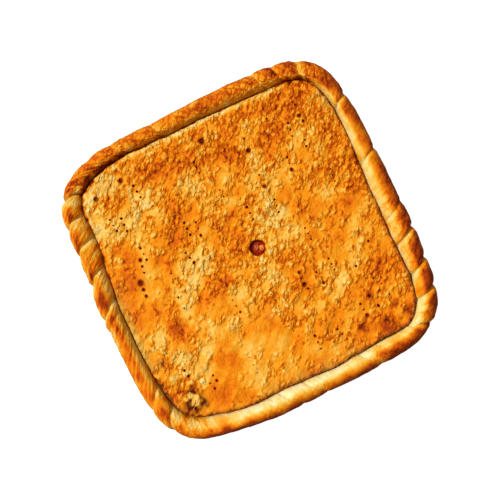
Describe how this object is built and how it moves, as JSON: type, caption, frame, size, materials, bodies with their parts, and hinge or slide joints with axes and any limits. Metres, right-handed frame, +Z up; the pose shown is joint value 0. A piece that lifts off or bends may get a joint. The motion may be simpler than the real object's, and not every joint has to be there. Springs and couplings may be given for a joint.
{
  "type": "bread dough empanada",
  "caption": "Square family pie of bread dough: a case with a rolled rope rim, a pricked lid laid inside it, and filling showing through a round vent.",
  "frame": {"origin": "middle of the flat underside, at the height of the surface the pie stands on", "axes": "+Z up through the lid; +X and +Y square to the pie's straight sides"},
  "size_m": [0.3386, 0.3386, 0.0309],
  "materials": {
    "case_dough": "baked bread dough, satin, browned on the folds and pale in the seams",
    "lid_dough": "baked bread dough brushed with oil, golden orange with pale blisters",
    "filling": "moist cooked filling, dark red-brown"
  },
  "bodies": {
    "root": {"case": "case_dough", "lid": "lid_dough", "filling": "filling"}
  },
  "joints": []
}
